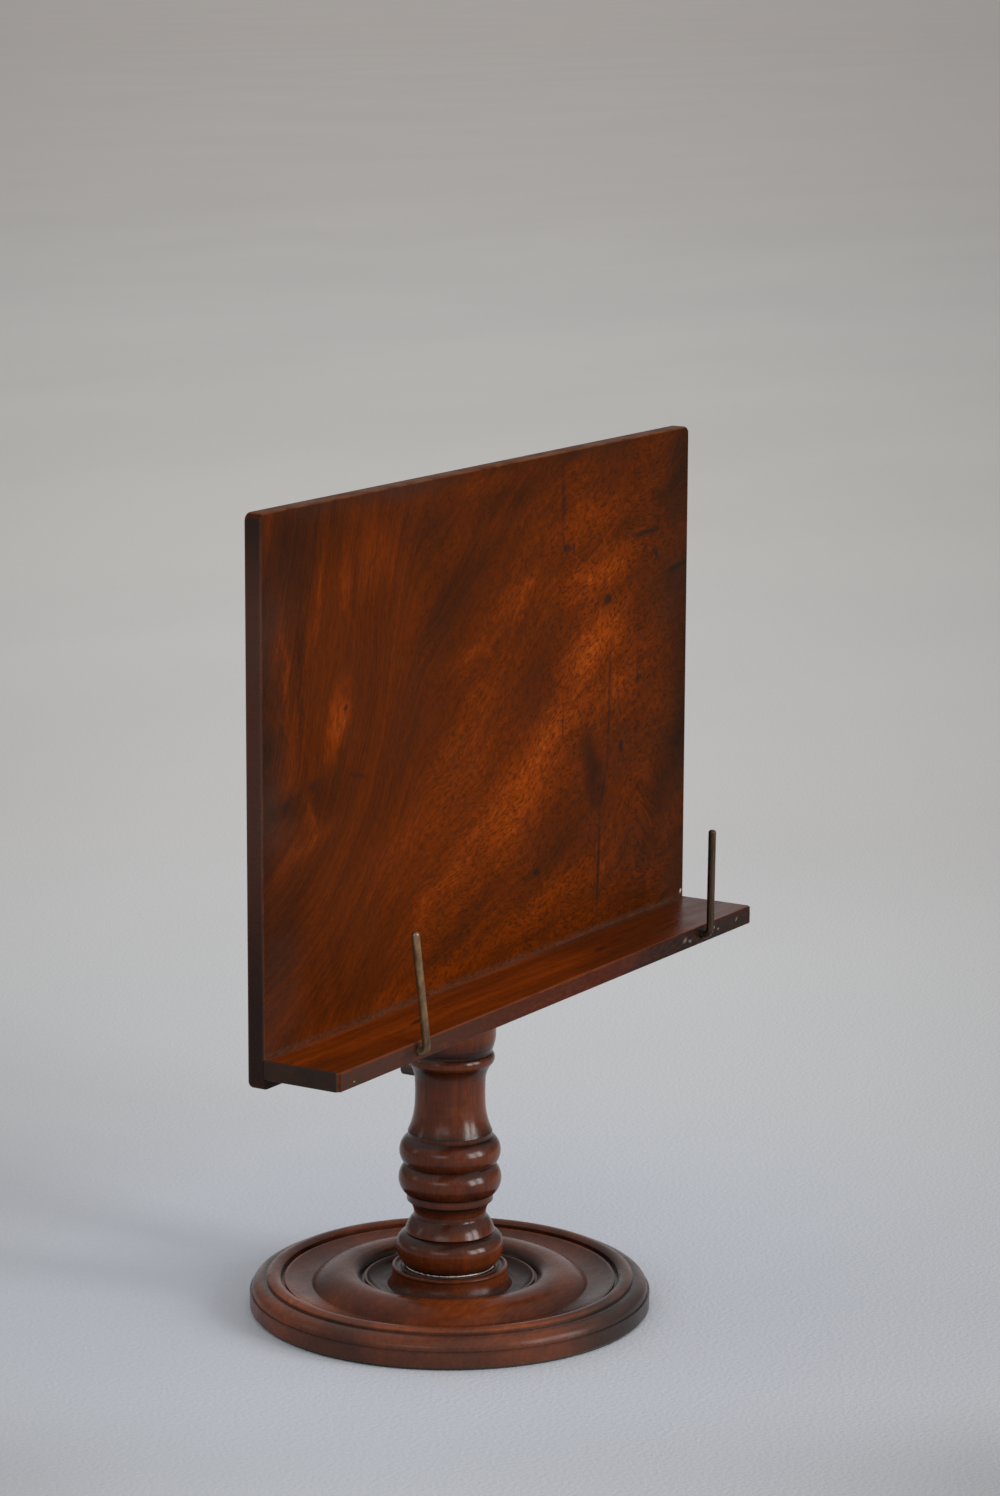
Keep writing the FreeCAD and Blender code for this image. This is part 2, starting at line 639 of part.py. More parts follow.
def make_page_holder(label, place, height, lean):
    """Brass wire that turns in the front edge of the ledge and is bent upwards there."""
    body = new_body(label)
    path = new_sketch(body, label + "_path", "YZ_Plane")
    corner = value_of("wire_bend - wire_standoff")
    front = -value_of("wire_standoff")
    bend = value_of("wire_bend")
    hidden_end = FreeCAD.Vector(value_of("wire_depth"), 0, 0)
    bend_start = FreeCAD.Vector(corner, 0, 0)
    bend_middle = FreeCAD.Vector(corner - bend * math.sin(math.pi / 4), bend - bend * math.cos(math.pi / 4), 0)
    bend_end = FreeCAD.Vector(front, bend, 0)
    tip = FreeCAD.Vector(front, value_of(height), 0)
    path.addGeometry(Part.LineSegment(hidden_end, bend_start))
    path.addGeometry(Part.Arc(bend_start, bend_middle, bend_end))
    path.addGeometry(Part.LineSegment(bend_end, tip))
    fix_point(path, 0, START, "wire_depth", "0")
    fix_point(path, 0, END, "wire_bend - wire_standoff", "0")
    # the arc is stored anticlockwise, from its upper end to its lower end
    fix_point(path, 1, START, "-wire_standoff", "wire_bend")
    fix_point(path, 1, END, "wire_bend - wire_standoff", "0")
    number = path.addConstraint(Sketcher.Constraint("Radius", 1, bend))
    path.setExpression(f"Constraints[{number}]", bound("wire_bend"))
    fix_point(path, 2, START, "-wire_standoff", "wire_bend")
    fix_point(path, 2, END, "-wire_standoff", height)
    section = new_sketch(body, label + "_section", "XZ_Plane", "-wire_depth")
    circle(section, "0", "0", "wire_radius")
    pipe = feature(body, "AdditivePipe", label + "_pipe", section)
    pipe.Spine = (path, ["Edge1", "Edge2", "Edge3"])
    doc.recompute()
    soften(body, "wire_round", edges_on(pipe.Shape, "z", value_of(height)))
    body.Placement = FreeCAD.Placement(FreeCAD.Vector(0, 0, 0), FreeCAD.Rotation(FreeCAD.Vector(0, 1, 0), 1))
    body.setExpression("Placement.Rotation.Angle", bound(lean))
    bind_place(body, x=place, y=f"-({LEDGE_FRONT})", z=LEDGE_MIDDLE)
    doc.recompute()
    return body


def make_all():
    head_blank = make_head()
    return [
        make_base(),
        make_pad(),
        make_column(),
        make_wedge(),
        drilled(head_blank, "swivel_head", *head_screws(), access=value_of("2 * bolt_sink")),
        make_peg(),
        make_board(),
        make_ledge(),
        screw_group("ledge_screws", *ledge_screws()),
        screw_group("head_screws", *head_screws()),
        make_page_holder("page_holder_left", LEFT_WIRE, "left_wire_height", "-left_wire_lean"),
        make_page_holder("page_holder_right", RIGHT_WIRE, "right_wire_height", "right_wire_lean"),
    ]


def check(pieces):
    """Stop before anything is written if a feature or a shape has failed."""
    doc.recompute()
    for thing in doc.Objects:
        if "Invalid" in thing.State or "Error" in thing.State:
            raise RuntimeError(f"{thing.Label} failed: {thing.State}")
    for piece in pieces:
        if piece.Shape.isNull() or not piece.Shape.isValid() or not piece.Shape.Solids:
            raise RuntimeError(f"{piece.Label} has no sound solid")


pieces = make_all()
check(pieces)
os.makedirs("parts", exist_ok=True)
for piece in pieces:
    piece.Shape.exportStep(f"parts/{piece.Label}.step")
    print(piece.Label, len(piece.Shape.Solids), round(piece.Shape.Volume), piece.Shape.BoundBox)
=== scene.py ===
import math
import random

import bmesh
import bpy
from mathutils import Matrix, Vector


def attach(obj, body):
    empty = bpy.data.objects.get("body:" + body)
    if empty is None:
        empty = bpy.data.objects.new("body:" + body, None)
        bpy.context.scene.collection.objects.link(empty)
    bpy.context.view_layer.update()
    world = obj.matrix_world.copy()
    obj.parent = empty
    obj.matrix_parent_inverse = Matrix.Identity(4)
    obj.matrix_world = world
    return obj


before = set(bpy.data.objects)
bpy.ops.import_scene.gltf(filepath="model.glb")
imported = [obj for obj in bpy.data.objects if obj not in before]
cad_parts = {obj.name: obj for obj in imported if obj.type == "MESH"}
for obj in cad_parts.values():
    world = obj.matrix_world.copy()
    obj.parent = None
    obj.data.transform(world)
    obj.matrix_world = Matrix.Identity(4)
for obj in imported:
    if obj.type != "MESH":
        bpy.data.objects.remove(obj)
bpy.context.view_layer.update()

MM = 0.001

# faces of the part that the materials refer to, in millimetres
HALF_WIDTH = 200.0
BOARD_TOP = 437.0
BOARD_BACK = -14.0
BOARD_FRONT = -23.5
LEDGE_TOP = 180.0
LEDGE_FOOT = 170.5
LEDGE_FRONT = -65.5

# the camera's heading over the floor
HEADING_X = 0.852
HEADING_Y = 0.524


def tone(red, green, blue):
    """A display colour, 0 to 255, as the linear colour that the shaders take."""
    def linear(part):
        part /= 255
        return part / 12.92 if part <= 0.04045 else ((part + 0.055) / 1.055) ** 2.4
    return (linear(red), linear(green), linear(blue), 1.0)


# ---------------------------------------------------------------- node trees

class Graph:
    """A material's node tree.  The methods return the socket that they make."""

    def __init__(self, name):
        self.material = bpy.data.materials.new(name)
        self.material.use_nodes = True
        self.tree = self.material.node_tree
        self.tree.nodes.clear()

    def feed(self, socket, value):
        if isinstance(value, bpy.types.NodeSocket):
            self.tree.links.new(value, socket)
        else:
            socket.default_value = value

    def node(self, kind, inputs=None, **settings):
        node = self.tree.nodes.new(kind)
        for name, setting in settings.items():
            setattr(node, name, setting)
        for name, value in (inputs or {}).items():
            self.feed(node.inputs[name], value)
        return node

    def math(self, operation, *values):
        node = self.node("ShaderNodeMath", operation=operation)
        for socket, value in zip(node.inputs, values):
            self.feed(socket, value)
        return node.outputs[0]

    def add(self, *values):
        total = values[0]
        for value in values[1:]:
            total = self.math("ADD", total, value)
        return total

    def times(self, first, second):
        return self.math("MULTIPLY", first, second)

    def between(self, value, low, high, out_low=0.0, out_high=1.0):
        """Runs smoothly from out_low to out_high while the value goes from low to high."""
        inputs = {
            "Value": value, "From Min": low, "From Max": high, "To Min": out_low, "To Max": out_high}
        return self.node("ShaderNodeMapRange", inputs, interpolation_type="SMOOTHSTEP").outputs[0]

    def band(self, value, middle, half, soft):
        """1 where the value is within half of the middle, fading over soft."""
        away = self.math("ABSOLUTE", self.math("SUBTRACT", value, middle))
        return self.between(away, half + soft, half)

    def mix(self, share, low, high):
        """The colour low where the share is 0 and high where it is 1."""
        node = self.node("ShaderNodeMix", data_type="RGBA")
        for index, value in ((0, share), (6, low), (7, high)):
            self.feed(node.inputs[index], value)
        return node.outputs[2]

    def ramp(self, value, stops, interpolation="LINEAR"):
        """Colours or greys along a value from 0 to 1, each stop as its place and what is there."""
        node = self.node("ShaderNodeValToRGB", {"Fac": value})
        node.color_ramp.interpolation = interpolation
        elements = node.color_ramp.elements
        while len(elements) < len(stops):
            elements.new(0.5)
        for element, (place, colour) in zip(elements, stops):
            element.position = place
            element.color = colour if isinstance(colour, tuple) else (colour, colour, colour, 1.0)
        return node.outputs[0]

    def place(self):
        """The point in the part's own frame, in millimetres, as x, y and z."""
        coordinates = self.node("ShaderNodeTexCoord").outputs["Object"]
        split = self.node("ShaderNodeSeparateXYZ", {0: coordinates})
        return [self.times(split.outputs[axis], 1 / MM) for axis in range(3)]

    def point(self, x, y, z):
        return self.node("ShaderNodeCombineXYZ", {0: x, 1: y, 2: z}).outputs[0]

    def away_from_axis(self, x, y):
        return self.math("SQRT", self.add(self.times(x, x), self.times(y, y)))

    def distance(self, first, second):
        node = self.node("ShaderNodeVectorMath", {0: first, 1: second}, operation="DISTANCE")
        return node.outputs["Value"]

    def noise(self, x, y, z, sizes, detail=3.0, roughness=0.5, distortion=0.0):
        """Noise from 0 to 1 whose features have those sizes, in millimetres."""
        point = self.point(*(self.times(value, 1 / size) for value, size in zip((x, y, z), sizes)))
        inputs = {
            "Vector": point, "Scale": 1.0, "Detail": detail,
            "Roughness": roughness, "Distortion": distortion}
        return self.node("ShaderNodeTexNoise", inputs).outputs["Fac"]

    def signed(self, noise, height):
        """The noise as a number from about -height to height."""
        return self.times(self.math("SUBTRACT", noise, 0.5), 2 * height)

    def spot(self, place, centre, length, width, angle=0.0, core=0.0):
        """An oval mark on the x-z plane: 1 in its core, 0 from its edge on.  Length and width are
        measured from its centre, and the angle is in degrees from the x axis."""
        inputs = {
            "Vector": place,
            "Location": (centre[0], 0.0, centre[1]),
            "Rotation": (0.0, -math.radians(angle), 0.0),
            "Scale": (length, 1.0, width),
        }
        moved = self.node("ShaderNodeMapping", inputs, vector_type="TEXTURE").outputs[0]
        away = self.node("ShaderNodeVectorMath", {0: moved}, operation="LENGTH").outputs["Value"]
        return self.between(away, 1.0, core)

    def marks(self, x, z, table):
        """The sum of spots.  Each row is a strength, then the centre, length, width, angle and
        core of its spot."""
        place = self.point(x, 0.0, z)
        total = 0.0
        for strength, *shape in table:
            total = self.math("MULTIPLY_ADD", self.spot(place, *shape), strength, total)
        return total

    def bump(self, height, distance):
        inputs = {"Height": height, "Distance": distance, "Strength": 1.0}
        return self.node("ShaderNodeBump", inputs).outputs[0]

    def surface(self, colour, roughness, normal=None, **constants):
        """The finished material.  The constants are set on the shader's own sockets."""
        shader = self.node("ShaderNodeBsdfPrincipled", {"Base Color": colour, "Roughness": roughness})
        for name, value in constants.items():
            shader.inputs[name.replace("_", " ")].default_value = value
        if normal is not None:
            self.feed(shader.inputs["Normal"], normal)
            self.feed(shader.inputs["Coat Normal"], normal)
        output = self.node("ShaderNodeOutputMaterial")
        self.tree.links.new(shader.outputs[0], output.inputs["Surface"])
        return self.material


MAHOGANY = [
    (0.00, tone(30, 16, 11)),
    (0.18, tone(46, 23, 13)),
    (0.36, tone(64, 29, 12)),
    (0.52, tone(83, 35, 8)),
    (0.68, tone(108, 44, 6)),
    (0.84, tone(138, 60, 12)),
    (1.00, tone(170, 88, 30)),
]

BOARD_TONES = [
    (0.00, tone(27, 13, 7)),
    (0.18, tone(43, 19, 6)),
    (0.36, tone(62, 25, 4)),
    (0.52, tone(83, 32, 1)),
    (0.68, tone(108, 42, 1)),
    (0.84, tone(134, 57, 6)),
    (1.00, tone(160, 80, 22)),
]


# ---------------------------------------------------------------- board and ledge

def grain_field(g, x, z):
    """Coordinates across and along the growth lines of the board.  They stand upright at its left
    end, lean over more and more to the right, and part round an eye in the figure."""
    eye = g.spot(g.point(x, 0.0, z), (-132, 337), 62, 46, 80)
    x = g.math("SUBTRACT", x, g.times(g.times(g.add(x, 132.0), eye), 0.5))
    waver = g.noise(x, 0.0, z, (80, 1, 80), detail=2)
    steep = g.between(z, 180.0, 320.0, 0.38, 1.0)
    bend = g.add(
        g.times(x, 0.35), g.between(x, -230.0, -60.0, -450.0, 0.0), g.between(x, -150.0, 150.0, -80.0, 0.0))
    across = g.add(z, g.times(g.times(steep, bend), -1.0), g.signed(waver, 22.0))
    along = g.add(g.times(x, 0.8), g.times(z, 0.6))
    return across, along


def figured_board():
    g = Graph("figured_mahogany_board")
    x, y, z = g.place()
    across, along = grain_field(g, x, z)
    depth = g.times(y, 0.6)
    front = g.between(y, BOARD_FRONT + 3.5, BOARD_FRONT + 0.5)

    wide = g.noise(across, depth, along, (60, 40, 200), detail=2)
    ribbon = g.noise(across, depth, along, (22, 20, 90), detail=4, roughness=0.65)
    fine = g.noise(across, depth, along, (4.5, 6, 40), detail=3, roughness=0.65)
    fleck = g.noise(across, depth, along, (1.2, 4, 2.8), detail=3, roughness=0.75)
    curl = g.noise(across, depth, along, (8, 14, 4.5), detail=4, roughness=0.7)

    wander = g.noise(x, 0.0, z, (24, 1, 24), detail=5, roughness=0.65)
    rough_x = g.add(x, g.signed(wander, 14.0))
    rough_z = g.add(z, g.signed(g.noise(x, 40.0, z, (20, 1, 20), detail=5, roughness=0.65), 11.0))
    light = g.marks(rough_x, rough_z, [
        (0.13, (-14, 345), 34, 9, 20),
        (0.11, (28, 368), 54, 15, 14),
        (0.13, (92, 398), 66, 17, 10),
        (0.16, (115, 372), 60, 17, 12),
        (0.17, (104, 335), 62, 22, 16),
        (0.15, (118, 306), 46, 20, 24),
        (0.09, (26, 262), 84, 34, 34),
        (0.09, (10, 244), 140, 66, 24),
        (0.09, (92, 352), 76, 42, 14),
        (0.07, (-92, 246), 80, 44, 24),
        (0.11, (-20, 286), 120, 46, 30),
        (0.09, (48, 284), 84, 32, 32),
        (0.09, (78, 310), 70, 24, 30),
        (0.15, (60, 206), 90, 18, 12),
        (0.10, (-90, 186), 110, 9, 2),
        (0.10, (-34, 240), 50, 15, 36),
        (0.10, (-62, 223), 30, 10, 30),
        (0.10, (-100, 404), 36, 26, 20),
        (0.10, (-162, 276), 34, 7, 16),
        (0.13, (-163, 289), 18, 6, 110),
        (0.13, (-182, 360), 40, 4.5, 92),
        (0.09, (-154, 386), 40, 4.5, 86),
        (0.10, (-130, 398), 36, 6, 92),
    ])
    dark = g.marks(rough_x, rough_z, [
        (0.38, (-208, 330), 150, 28, 90),
        (0.14, (-170, 425), 60, 30, 60),
        (0.08, (-176, 410), 50, 20, 95),
        (0.14, (-168, 350), 50, 5, 90),
        (0.12, (-36, 378), 56, 26, 40),
        (0.10, (10, 420), 90, 14, 6),
        (0.04, (20, 320), 70, 8, 34),
        (0.13, (-60, 408), 40, 32, 60),
        (0.10, (-137, 424), 26, 16, 90),
        (0.10, (192, 205), 40, 26, 0),
        (0.06, (66, 233), 50, 12, 24),
        (0.22, (100, 268), 36, 12, 112),
        (0.11, (-22, 212), 60, 12, 26),
        (0.05, (-110, 236), 70, 16, 34),
        (0.09, (-158, 296), 50, 16, 6),
        (0.12, (-186, 296), 26, 12, 0),
        (0.28, (208, 290), 150, 40, 95),
        (0.17, (176, 246), 60, 26, 60),
        (0.24, (196, 420), 60, 30, 50),
        (0.22, (-20, 446), 240, 18, 0),
        (0.13, (-186, 232), 60, 26, 60),
    ])
    eye = g.spot(g.point(rough_x, 0.0, rough_z), (-138, 331), 29, 15, 62, 0.15)

    value = g.add(
        g.signed(wide, 0.12), g.signed(ribbon, 0.13), g.signed(fine, 0.15), 0.40,
        g.times(g.times(light, front), 1.3),
        g.times(g.times(dark, front), -1.15),
        g.times(g.times(eye, front), 0.28),
    )
    # pores and the short curl of the figure show most where the wood is light
    lively = g.between(g.add(value, g.times(x, 0.0008)), 0.3, 0.75, 0.40, 1.0)
    pores = g.between(fleck, 0.48, 0.62)
    value = g.add(
        value, g.times(g.times(pores, lively), -0.26), g.times(g.signed(curl, 0.28), lively), 0.09)
    colour = g.ramp(value, BOARD_TONES)

    # grime, most of it towards the edges
    blots = g.noise(x, y, z, (60, 20, 45), detail=3)
    to_sides = g.between(g.math("ABSOLUTE", g.add(x, 8.0)), 150.0, 204.0)
    to_edges = g.add(to_sides, g.between(z, BOARD_TOP - 12.0, BOARD_TOP + 1.0))
    grime = g.times(
        g.between(blots, 0.35, 0.75, 0.15, 1.0), g.math("MINIMUM", g.add(to_edges, 0.12), 1.0))
    grime_tone = g.mix(g.between(x, 0.0, -130.0), tone(44, 26, 15), tone(62, 44, 38))
    colour = g.mix(g.times(grime, 0.55), colour, grime_tone)

    # knots, splits and ink-dark marks on the front
    edge = g.noise(x, 0.0, z, (3, 1, 3), detail=3)
    ragged_x = g.add(x, g.signed(edge, 1.3))
    ragged_z = g.add(z, g.signed(g.noise(x, 9.0, z, (3, 1, 3), detail=3), 1.3))
    hair = g.marks(x, z, [
        (0.62, (117.6, 300), 58, 2.2, 88, 0.1),
        (0.92, (107.6, 214), 38, 2.4, 87, 0.1),
        (0.60, (112.2, 256), 20, 2.4, 74, 0.1),
        (0.60, (70.5, 296), 15, 1.3, 90, 0.1),
        (0.60, (69.5, 413), 28, 4.2, 92, 0.0),
    ])
    knots = g.marks(ragged_x, ragged_z, [
        (0.85, (73.5, 387), 6, 4.0, 0, 0.3),
        (0.90, (80.3, 386.5), 4.5, 1.7, 82, 0.3),
        (0.90, (115, 355), 6.5, 4.2, 0, 0.3),
        (0.80, (147.8, 308.6), 4, 3, 0, 0.3),
        (0.85, (130, 275), 5.2, 4.0, 100, 0.3),
        (0.80, (45, 223), 5, 3.4, 0, 0.2),
        (0.85, (-130.5, 336.5), 3, 2.3, 0, 0.2),
        (0.55, (-120, 302), 13, 1.8, -14, 0.1),
        (0.60, (-158, 303), 9, 5, 0, 0.0),
        (0.55, (-181, 297), 9, 6, 30, 0.0),
        (0.75, (165, 374), 7, 3.4, -50, 0.2),
        (0.90, (154, 385.5), 30, 3.0, 1, 0.0),
        (0.95, (190, 363.5), 20, 2.2, 7, 0.2),
        (0.50, (186, 426), 18, 2.4, 55, 0.1),
        (0.45, (168, 403), 5, 1.4, 100, 0.1),
    ])
    stain = g.times(g.math("MINIMUM", g.add(hair, knots), 1.0), front)
    colour = g.mix(g.times(stain, 0.88), colour, tone(31, 24, 20))
    chip = g.times(g.spot(g.point(ragged_x, 0.0, ragged_z), (196.4, 183.6), 1.8, 1.3, 60, 0.3), front)
    colour = g.mix(chip, colour, tone(190, 160, 136))

    # dust in the corner above the ledge
    dust_noise = g.noise(x, y, z, (4, 3, 1.2), detail=4, roughness=0.7)
    low = g.times(g.between(z, LEDGE_TOP + 4.5, LEDGE_TOP), g.between(z, LEDGE_TOP - 1.0, LEDGE_TOP))
    dust = g.times(low, front)
    dust = g.times(dust, g.between(dust_noise, 0.35, 0.6))
    colour = g.mix(g.times(dust, 0.45), colour, tone(76, 66, 57))

    # worn arrises and top edge, the arrises with a painted highlight too, dark ends, painted shade on the
    # front below the ledge, and the back, lighter as painted light for its dim side
    worn_noise = g.noise(x, y, z, (14, 6, 14), detail=3)
    side = g.math("ABSOLUTE", x)
    rim = g.math(
        "MAXIMUM",
        g.between(side, HALF_WIDTH - 1.4, HALF_WIDTH - 0.5),
        g.between(z, BOARD_TOP - 1.2, BOARD_TOP - 0.4))
    # the front arrises lighter: worn, with a painted highlight along them
    arris = g.times(rim, g.band(y, BOARD_FRONT + 0.3, 0.5, 0.5))
    colour = g.mix(g.times(arris, g.between(worn_noise, 0.35, 0.6, 0.1, 0.5)), colour, tone(104, 56, 36))
    top = g.times(
        g.between(z, BOARD_TOP - 0.8, BOARD_TOP - 0.2), g.between(y, BOARD_BACK - 1.0, BOARD_BACK - 3.0))
    colour = g.mix(g.times(top, g.between(worn_noise, 0.3, 0.6, 0.2, 0.8)), colour, tone(112, 68, 42))
    below = g.times(g.between(z, LEDGE_FOOT + 0.5, LEDGE_FOOT - 0.5), front)
    dull = g.math("MAXIMUM", g.between(side, HALF_WIDTH - 1.0, HALF_WIDTH - 0.2), below)
    colour = g.mix(g.times(dull, g.between(blots, 0.3, 0.6, 0.75, 1.0)), colour, tone(78, 53, 45))
    # darker towards the top and bottom of the ends, and painted shade on the strip of front below the ledge
    ends_dark_and_ledge_shade = g.times(g.add(g.between(z, 390.0, 440.0), g.between(z, 285.0, 200.0)), dull)
    colour = g.mix(g.times(ends_dark_and_ledge_shade, 0.8), colour, tone(36, 31, 31))
    # the back lighter: painted light for the dim side away from the lamps
    back = g.between(y, BOARD_BACK - 2.0, BOARD_BACK - 0.3)
    colour = g.mix(g.times(back, 0.45), colour, tone(112, 68, 44))

    sheen = g.noise(x, y, z, (30, 10, 30), detail=4, roughness=0.6)
    roughness = g.add(g.between(sheen, 0.3, 0.7, 0.42, 0.55), g.times(stain, 0.2), g.times(dust, 0.3))
    height = g.add(g.times(fine, 0.4), g.times(pores, -0.5))
    return g.surface(colour, roughness, g.bump(height, 0.12 * MM), Specular_IOR_Level=0.02)


def figured_ledge():
    g = Graph("figured_mahogany_ledge")
    x, y, z = g.place()
    waver = g.signed(g.noise(x, y, z, (120, 60, 60), detail=2), 7.0)
    across = g.add(y, waver)
    lift = g.add(z, g.times(waver, 0.5))
    wide = g.noise(x, across, lift, (200, 17, 17), detail=2)
    ribbon = g.noise(x, across, lift, (90, 4, 4), detail=3, roughness=0.6)
    fine = g.noise(x, across, lift, (40, 1.1, 1.1), detail=3, roughness=0.6)
    fleck = g.noise(x, across, lift, (5, 0.7, 0.7), detail=2, roughness=0.6)
    value = g.add(0.73, g.signed(wide, 0.26), g.signed(ribbon, 0.20), g.signed(fine, 0.14))
    value = g.add(
        value, g.times(g.between(x, -150.0, -205.0), -0.10), g.times(g.between(x, 10.0, 100.0), -0.16))
    pores = g.between(fleck, 0.56, 0.70)
    value = g.add(value, g.times(pores, -0.16))
    colour = g.ramp(value, MAHOGANY)

    # stains on its top
    top = g.between(z, LEDGE_TOP - 0.8, LEDGE_TOP - 0.2)
    ragged = g.signed(g.noise(x, y, 0.0, (3, 3, 1), detail=3), 1.0)
    marks = g.marks(g.add(x, ragged), g.add(y, ragged), [
        (0.90, (-101, -45), 12, 2.2, 8, 0.3),
        (0.45, (-122, -49), 16, 2.2, 4, 0.0),
        (0.85, (72, -46), 10, 2.4, 10, 0.3),
        (0.70, (92, -44), 14, 2.0, 5, 0.2),
        (0.50, (118, -38), 12, 1.6, 8, 0.1),
        (0.40, (20, -40), 30, 1.4, -3, 0.0),
        (0.35, (150, -52), 26, 1.2, 6, 0.0),
        (0.30, (-60, -52), 40, 1.6, 3, 0.0),
    ])
    stain = g.times(g.math("MINIMUM", marks, 1.0), top)
    colour = g.mix(g.times(stain, 0.8), colour, tone(32, 20, 18))

    # a greyish tint at its right end, painted sheen, and dust along the board
    right_end_sheen = g.times(top, g.between(g.add(x, g.times(ragged, 6.0)), 150.0, 188.0, 0.0, 0.22))
    colour = g.mix(right_end_sheen, colour, tone(52, 46, 38))
    dust_noise = g.noise(x, y, z, (4, 1.4, 3), detail=4, roughness=0.7)
    by_board = g.between(y, BOARD_FRONT - 5.0, BOARD_FRONT - 0.3)
    dust = g.times(by_board, g.times(top, g.between(dust_noise, 0.36, 0.6)))
    colour = g.mix(g.times(dust, 0.48), colour, tone(78, 66, 57))

    # greyish, knocked front edge, with its upper arris worn light
    front = g.between(y, LEDGE_FRONT + 0.6, LEDGE_FRONT + 0.1)
    knocks = g.noise(x, y, z, (5, 3, 1.6), detail=4, roughness=0.65)
    wear = g.add(x, g.signed(g.noise(x, 0.0, z, (24, 1, 6), detail=4), 40.0))
    dirt = g.between(wear, 20.0, 110.0)
    shabby = g.ramp(g.add(g.times(wear, 0.0025), 0.5), [
        (0.10, tone(60, 37, 28)),
        (0.32, tone(60, 30, 18)),
        (0.44, tone(64, 22, 5)),
        (0.65, tone(60, 21, 6)),
        (0.74, tone(32, 13, 7)),
        (0.82, tone(22, 13, 10)),
        (0.90, tone(24, 20, 16)),
        (1.00, tone(36, 18, 12)),
    ])
    colour = g.mix(g.times(front, g.between(knocks, 0.3, 0.6, 0.75, 1.0)), colour, shabby)
    grime = g.marks(g.add(x, ragged), z, [
        (0.9, (128, 175), 9, 4.5, 0, 0.1),
        (0.9, (157, 175.0), 12, 5, 0, 0.2),
        (0.5, (184, 175), 9, 4, 0, 0.0),
        (0.7, (-140, 175), 8, 4, 0, 0.1),
    ])
    colour = g.mix(g.times(g.times(grime, front), 0.7), colour, tone(26, 24, 20))
    chips = g.marks(g.add(x, ragged), z, [
        (1.0, (-187, 173.2), 1.3, 0.5, 0, 0.3),
        (0.6, (127.0, 175.6), 3.2, 1.9, 20, 0.0),
        (0.6, (132.5, 174.2), 2.4, 1.3, -20, 0.0),
        (0.9, (158.5, 176.4), 1.3, 1.1, 0, 0.2),
        (0.7, (163.0, 174.6), 1.4, 0.9, 0, 0.2),
        (0.7, (183.5, 175.8), 2.2, 1.0, 40, 0.1),
    ])
    colour = g.mix(g.times(chips, front), colour, tone(132, 116, 98))
    worn_noise = g.noise(x, y, z, (16, 5, 5), detail=3)
    on_front = g.times(
        g.band(y, LEDGE_FRONT + 0.2, 0.3, 0.4), g.between(z, LEDGE_TOP - 1.1, LEDGE_TOP - 0.5))
    on_top = g.times(
        g.band(z, LEDGE_TOP - 0.25, 0.2, 0.3), g.between(y, LEDGE_FRONT + 1.3, LEDGE_FRONT + 0.7))
    arris = g.times(g.math("MAXIMUM", on_front, on_top), g.between(dirt, 0.2, 0.9, 1.0, 0.15))
    colour = g.mix(g.times(arris, g.between(worn_noise, 0.3, 0.55, 0.15, 0.6)), colour, tone(112, 54, 26))
    end_grain = g.between(g.math("ABSOLUTE", x), HALF_WIDTH - 1.4, HALF_WIDTH - 0.4)
    colour = g.mix(g.times(end_grain, 0.85), colour, tone(38, 39, 37))

    sheen = g.noise(x, y, z, (40, 12, 12), detail=4, roughness=0.6)
    roughness = g.add(g.between(sheen, 0.3, 0.7, 0.26, 0.38), g.times(dust, 0.3), g.times(front, 0.12))
    height = g.add(
        g.times(fine, 0.4), g.times(pores, -0.5), g.times(stain, -1.0), g.times(chips, -1.0))
    return g.surface(colour, roughness, g.bump(height, 0.05 * MM), Specular_IOR_Level=0.08)


# ---------------------------------------------------------------- turned pieces

TURNED = [
    (0.00, tone(24, 14, 11)),
    (0.20, tone(44, 21, 13)),
    (0.40, tone(66, 30, 15)),
    (0.55, tone(86, 39, 18)),
    (0.70, tone(108, 49, 19)),
    (0.85, tone(134, 63, 24)),
    (1.00, tone(164, 92, 46)),
]

# radius on the base, and how light the polished wood is there: painted shade darkens the hollows, with some
# grime in them, and painted highlights lighten the edges of the mouldings
WELL_TONE_AND_SHADE = [
    (0, 0.30), (22, 0.26), (23.4, 0.08), (24.7, 0.40), (25.3, 0.12), (26.6, 0.08), (27.6, 0.46),
    (28.6, 0.60), (29.6, 0.50), (30.4, 0.38), (32.4, 0.20), (36, 0.20), (41.8, 0.16), (42.6, 0.42),
    (43.6, 0.46), (44.4, 0.14), (46, 0.12), (47.5, 0.34), (50.5, 0.50), (55, 0.54), (60, 0.48),
]
RIM_TONE_AND_SHADE = [
    (55, 0.54), (60, 0.50), (65, 0.47), (70, 0.45), (74, 0.48), (80, 0.50), (83.4, 0.42),
    (84.0, 0.64), (84.8, 0.64), (85.4, 0.18), (86.6, 0.18), (87.3, 0.50), (90.5, 0.50), (93.6, 0.62),
    (94.6, 0.26), (95.4, 0.10), (96.4, 0.38), (99, 0.48), (101.5, 0.44), (102.6, 0.30), (103, 0.46),
]

